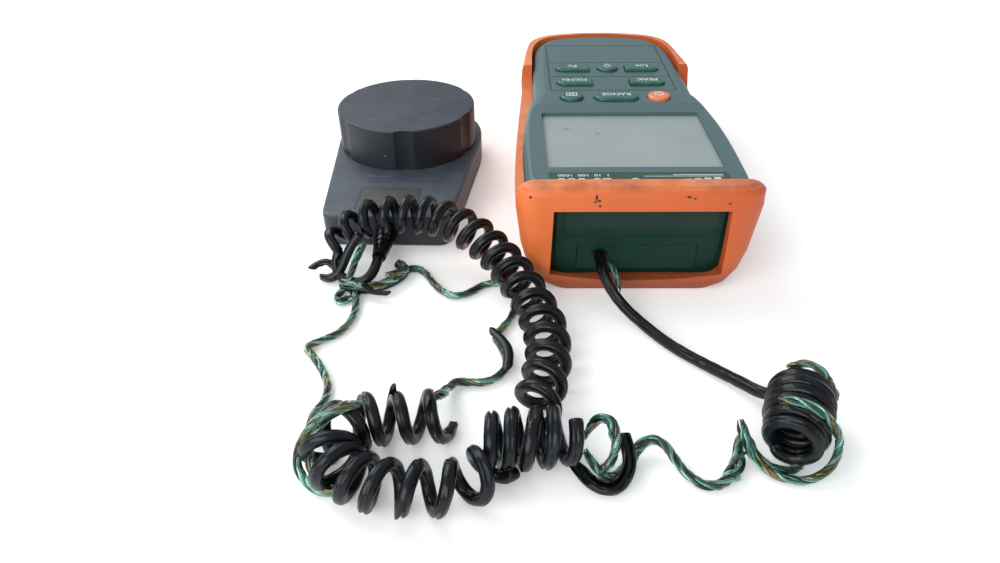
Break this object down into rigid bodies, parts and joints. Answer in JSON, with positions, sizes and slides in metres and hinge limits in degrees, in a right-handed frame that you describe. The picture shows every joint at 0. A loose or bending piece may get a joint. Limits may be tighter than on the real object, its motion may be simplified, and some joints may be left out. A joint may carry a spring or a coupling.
{
  "type": "handheld light meter",
  "caption": "Handheld light meter in a rubber boot, with a display, keys and a capped sensor head on a worn curly lead.",
  "frame": {"origin": "centre of the flat back of the rubber boot, on the surface the meter lies on", "axes": "+Y along the meter towards its keypad end, +Z out of its face, +X to the right"},
  "size_m": [0.1533, 0.2489, 0.0386],
  "materials": {
    "boot_rubber": "matt moulded rubber, dirty and nicked",
    "stand_plastic": "moulded rubber over a stiff core",
    "face_plastic": "fine-textured moulding",
    "back_plastic": "fine-textured moulding",
    "window_acrylic": "clear acrylic over a grey display, dulled",
    "lcd_glass": "display glass with polariser",
    "dark_plastic": "moulded",
    "connector_rubber": "striped elastomer",
    "board_laminate": "glass-fibre laminate with solder mask",
    "chip_plastic": "moulded packages",
    "mat_silicone": "silicone rubber",
    "key_rubber": "silicone rubber, lacquered",
    "key_orange": "silicone rubber, lacquered",
    "battery_jacket": "printed metal jacket",
    "wire_pvc": "extruded",
    "screw_steel": "zinc-plated steel",
    "plate_foil": "printed film",
    "plate_film": "printed film, faded",
    "sensor_plastic": "fine-textured moulding, dusty",
    "dome_acrylic": "opal acrylic",
    "filter_glass": "coloured optical glass",
    "cell_can": "plated can",
    "standoff_brass": "turned",
    "lead_jacket": "polyurethane jacket, crumbling",
    "wire_copper": "tinned and enamelled copper strands, tarnished green"
  },
  "bodies": {
    "root": {"protective_boot": "boot_rubber", "stand_hinge_pin": "screw_steel", "front_housing": "face_plastic", "rear_housing": "back_plastic", "display_window": "window_acrylic", "lcd_panel": "lcd_glass", "lcd_frame": "dark_plastic", "zebra_connectors": "connector_rubber", "main_board": "board_laminate", "board_components": "chip_plastic", "keypad_mat": "mat_silicone", "buzzer": "dark_plastic", "battery_9v": "battery_jacket", "battery_snap": "dark_plastic", "battery_wires": "wire_pvc", "battery_door": "back_plastic", "battery_door_screw": "screw_steel", "name_plate": "plate_foil", "lead_end_plate": "back_plastic", "lead_bush": "lead_jacket", "sensor_top_shell": "sensor_plastic", "sensor_bottom_shell": "sensor_plastic", "dome_ring": "sensor_plastic", "diffuser_dome": "dome_acrylic", "spectral_filter": "filter_glass", "photocell": "cell_can", "sensor_board": "board_laminate", "board_standoffs": "standoff_brass", "rating_plate": "plate_film", "sensor_strain_relief": "lead_jacket", "housing_screws": "screw_steel", "board_screws": "screw_steel", "sensor_screws": "screw_steel", "lead_straight": "lead_jacket", "lead_meter_coil": "lead_jacket", "bare_wires_right": "wire_copper", "split_sleeve": "lead_jacket", "curly_lead_middle": "lead_jacket", "curly_lead_arch": "lead_jacket", "curly_lead_loop": "lead_jacket", "lead_sensor_tail": "lead_jacket", "bare_wires_left": "wire_copper", "bare_wires_middle": "wire_copper"},
    "tilt_stand": {"tilt_stand": "stand_plastic"},
    "sensor_cap": {"sensor_cap": "sensor_plastic"},
    "key_footcandle": {"key_footcandle": "key_rubber"},
    "key_zero": {"key_zero": "key_rubber"},
    "key_lux": {"key_lux": "key_rubber"},
    "key_max_min": {"key_max_min": "key_rubber"},
    "key_peak": {"key_peak": "key_rubber"},
    "key_hold": {"key_hold": "key_rubber"},
    "key_range": {"key_range": "key_rubber"},
    "key_power": {"key_power": "key_orange"}
  },
  "joints": [
    {"name": "stand_hinge", "type": "hinge", "parent": "root", "child": "tilt_stand", "pos_m": [0, -0.032, 0.0015], "axis": [-1, 0, 0], "range_deg": [0, 65]},
    {"name": "cap_lift", "type": "slide", "parent": "root", "child": "sensor_cap", "axis": [0, 0, 1], "range_m": [0, 0.04]},
    {"name": "key_footcandle_press", "type": "slide", "parent": "root", "child": "key_footcandle", "axis": [0, 0, -1], "range_m": [0, 0.001], "stiffness_N_per_m": 400, "springref_m": -0.0005},
    {"name": "key_zero_press", "type": "slide", "parent": "root", "child": "key_zero", "axis": [0, 0, -1], "range_m": [0, 0.001], "stiffness_N_per_m": 400, "springref_m": -0.0005},
    {"name": "key_lux_press", "type": "slide", "parent": "root", "child": "key_lux", "axis": [0, 0, -1], "range_m": [0, 0.001], "stiffness_N_per_m": 400, "springref_m": -0.0005},
    {"name": "key_max_min_press", "type": "slide", "parent": "root", "child": "key_max_min", "axis": [0, 0, -1], "range_m": [0, 0.001], "stiffness_N_per_m": 400, "springref_m": -0.0005},
    {"name": "key_peak_press", "type": "slide", "parent": "root", "child": "key_peak", "axis": [0, 0, -1], "range_m": [0, 0.001], "stiffness_N_per_m": 400, "springref_m": -0.0005},
    {"name": "key_hold_press", "type": "slide", "parent": "root", "child": "key_hold", "axis": [0, 0, -1], "range_m": [0, 0.001], "stiffness_N_per_m": 400, "springref_m": -0.0005},
    {"name": "key_range_press", "type": "slide", "parent": "root", "child": "key_range", "axis": [0, 0, -1], "range_m": [0, 0.001], "stiffness_N_per_m": 400, "springref_m": -0.0005},
    {"name": "key_power_press", "type": "slide", "parent": "root", "child": "key_power", "axis": [0, 0, -1], "range_m": [0, 0.001], "stiffness_N_per_m": 400, "springref_m": -0.0005}
  ]
}
